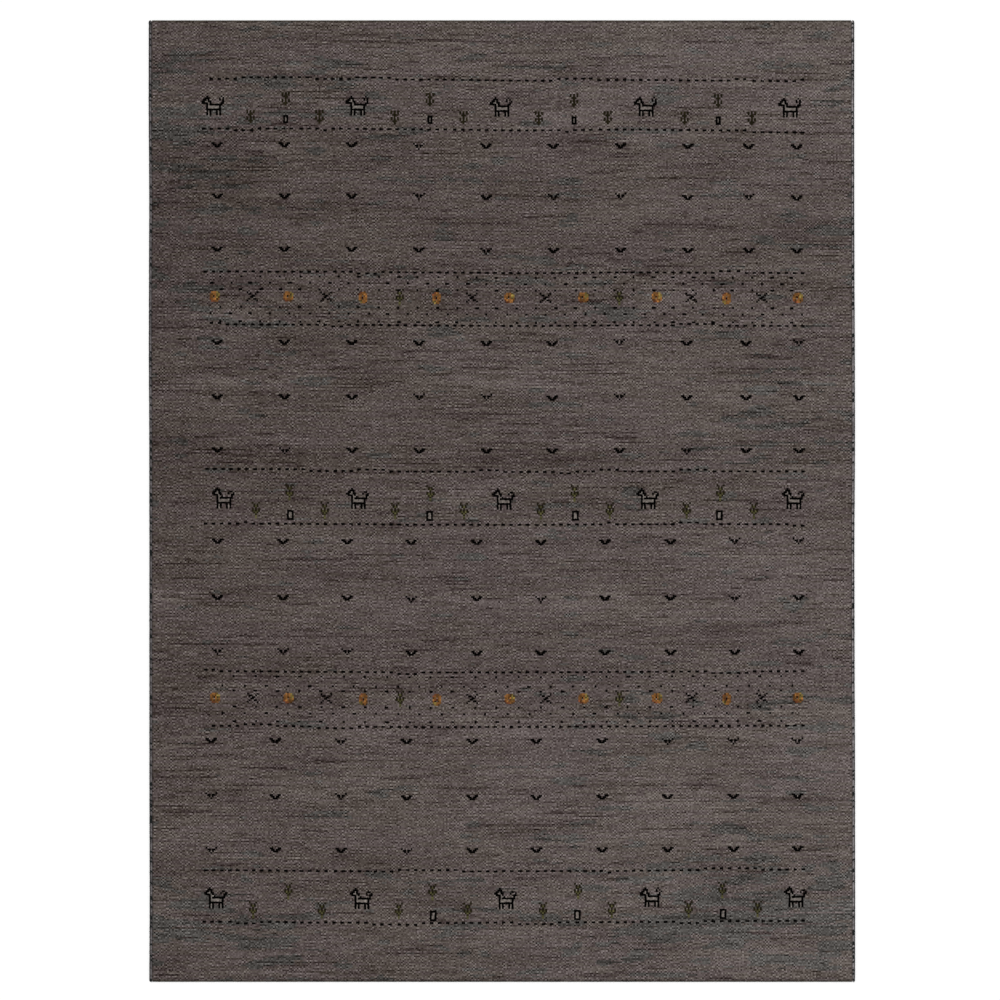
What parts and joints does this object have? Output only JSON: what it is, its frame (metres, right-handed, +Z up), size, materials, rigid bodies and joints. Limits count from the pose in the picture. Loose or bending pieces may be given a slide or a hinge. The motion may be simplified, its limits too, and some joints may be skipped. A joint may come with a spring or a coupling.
{
  "type": "hand-knotted wool rug",
  "caption": "Flat rectangular hand-knotted wool pile rug with an overcast cord along each side and a turned-under web at each end.",
  "frame": {"origin": "on the floor under the middle of the rug, the middle of the bounding box's underside", "axes": "+Y along the rug to its far end, the top of the picture; +X across to the picture's right; +Z up from the floor to the pile"},
  "size_m": [1.8, 2.45, 0.014],
  "materials": {
    "pile_wool": "sheared hand-spun wool pile, taupe with grey-green streaks and small dark, orange and olive figures",
    "edge_wool": "overcast wool yarn, dark grey-green"
  },
  "bodies": {
    "root": {"knotted_field": "pile_wool", "selvedge_left": "edge_wool", "selvedge_right": "edge_wool"}
  },
  "joints": []
}
